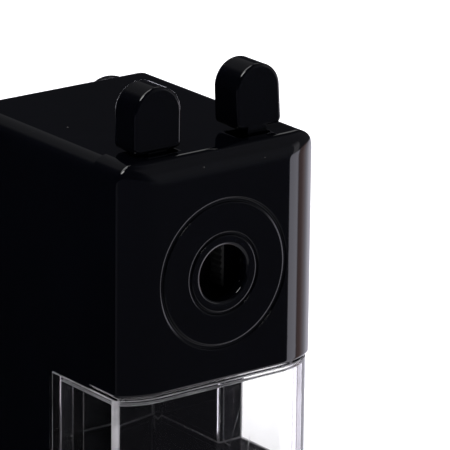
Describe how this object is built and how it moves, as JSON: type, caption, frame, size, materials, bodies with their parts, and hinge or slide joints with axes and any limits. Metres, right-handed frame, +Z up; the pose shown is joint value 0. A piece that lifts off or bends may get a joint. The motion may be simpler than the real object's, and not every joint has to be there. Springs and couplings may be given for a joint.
{
  "type": "crank pencil sharpener",
  "caption": "Hand-crank pencil sharpener: spring-loaded pencil holder with pinch-open jaws, geared helical cutter and a clear pull-out shavings drawer.",
  "frame": {"origin": "middle of the resting face under the rubber sole, on the desk, halfway along the base and on the pencil axis's vertical plane", "axes": "+Z up; +Y from the front face back to the crank, along the pencil axis; +X to the right seen from the front"},
  "size_m": [0.0614, 0.0863, 0.0965],
  "materials": {
    "black_plastic": "polished black moulded plastic with fine handling marks",
    "dark_plastic": "plain black moulded plastic, spark-eroded texture",
    "acetal": "natural white acetal, lightly greased",
    "clear_plastic": "clear polished plastic with fine scratches and graphite dust",
    "rubber": "matte black rubber",
    "zinc": "zinc alloy die casting, as cast",
    "hardened_steel": "ground and hardened steel",
    "steel": "drawn bright steel",
    "plated_screws": "zinc plated steel",
    "spring_wire": "drawn spring wire",
    "bronze": "oiled sintered bronze",
    "chrome": "chromium plated pressed steel"
  },
  "bodies": {
    "body": {"housing": "black_plastic", "drawer_frame": "black_plastic", "base": "black_plastic", "rubber_sole": "rubber", "base_screws": "plated_screws", "bulkhead": "dark_plastic", "bulkhead_screws": "plated_screws", "front_bushing": "bronze", "ring_gear": "acetal", "ring_gear_screws": "plated_screws", "rear_bushing": "bronze", "return_springs": "spring_wire"},
    "pencil_holder": {"face_plate": "black_plastic", "chuck_plate": "dark_plastic", "chuck_screws": "plated_screws", "guide_rods": "steel", "rod_clips": "steel", "lever_pins": "steel", "jaw_spring": "spring_wire"},
    "left_jaw": {"jaw_lever_left": "black_plastic", "jaw_pad_left": "rubber"},
    "right_jaw": {"jaw_lever_right": "black_plastic", "jaw_pad_right": "rubber"},
    "rotor": {"cutter_cage": "zinc", "cutter_axle": "steel", "axle_set_screw": "plated_screws", "crank_shaft": "steel", "crank_washer": "steel", "crank_arm": "chrome", "crank_screw": "plated_screws", "knob_pin": "steel"},
    "cutter": {"helical_cutter": "hardened_steel", "cutter_pinion": "hardened_steel"},
    "knob": {"crank_knob": "black_plastic"},
    "drawer": {"drawer": "clear_plastic"}
  },
  "joints": [
    {"name": "crank_turn", "type": "hinge", "parent": "body", "child": "rotor", "pos_m": [0, 0, 0.0585], "axis": [0, 1, 0], "continuous": true},
    {"name": "cutter_spin", "type": "hinge", "parent": "rotor", "child": "cutter", "pos_m": [0, 0.03932, 0.0585], "axis": [0, 0.9816, 0.1908], "continuous": true},
    {"name": "knob_spin", "type": "hinge", "parent": "rotor", "child": "knob", "pos_m": [0.03236, 0.0465, 0.06717], "axis": [0, 1, 0], "continuous": true},
    {"name": "holder_pull", "type": "slide", "parent": "body", "child": "pencil_holder", "axis": [0, -1, 0], "range_m": [0, 0.024], "stiffness_N_per_m": 200, "springref_m": -0.01, "deforming": ["return_springs"]},
    {"name": "jaw_left_open", "type": "hinge", "parent": "pencil_holder", "child": "left_jaw", "pos_m": [-0.0085, -0.0202, 0.072], "axis": [0, 1, 0], "range_deg": [0, 10], "stiffness_Nm_per_rad": 0.3, "springref_deg": -8.59, "deforming": ["jaw_spring"]},
    {"name": "jaw_right_open", "type": "hinge", "parent": "pencil_holder", "child": "right_jaw", "pos_m": [0.0085, -0.0202, 0.072], "axis": [0, -1, 0], "range_deg": [0, 10], "stiffness_Nm_per_rad": 0.3, "springref_deg": -8.59},
    {"name": "drawer_slide", "type": "slide", "parent": "body", "child": "drawer", "axis": [0, -1, 0], "range_m": [0, 0.045]}
  ],
  "couplings": [
    {"joint": "cutter_spin", "follows": "crank_turn", "ratio": -3},
    {"joint": "jaw_right_open", "follows": "jaw_left_open", "ratio": 1}
  ]
}
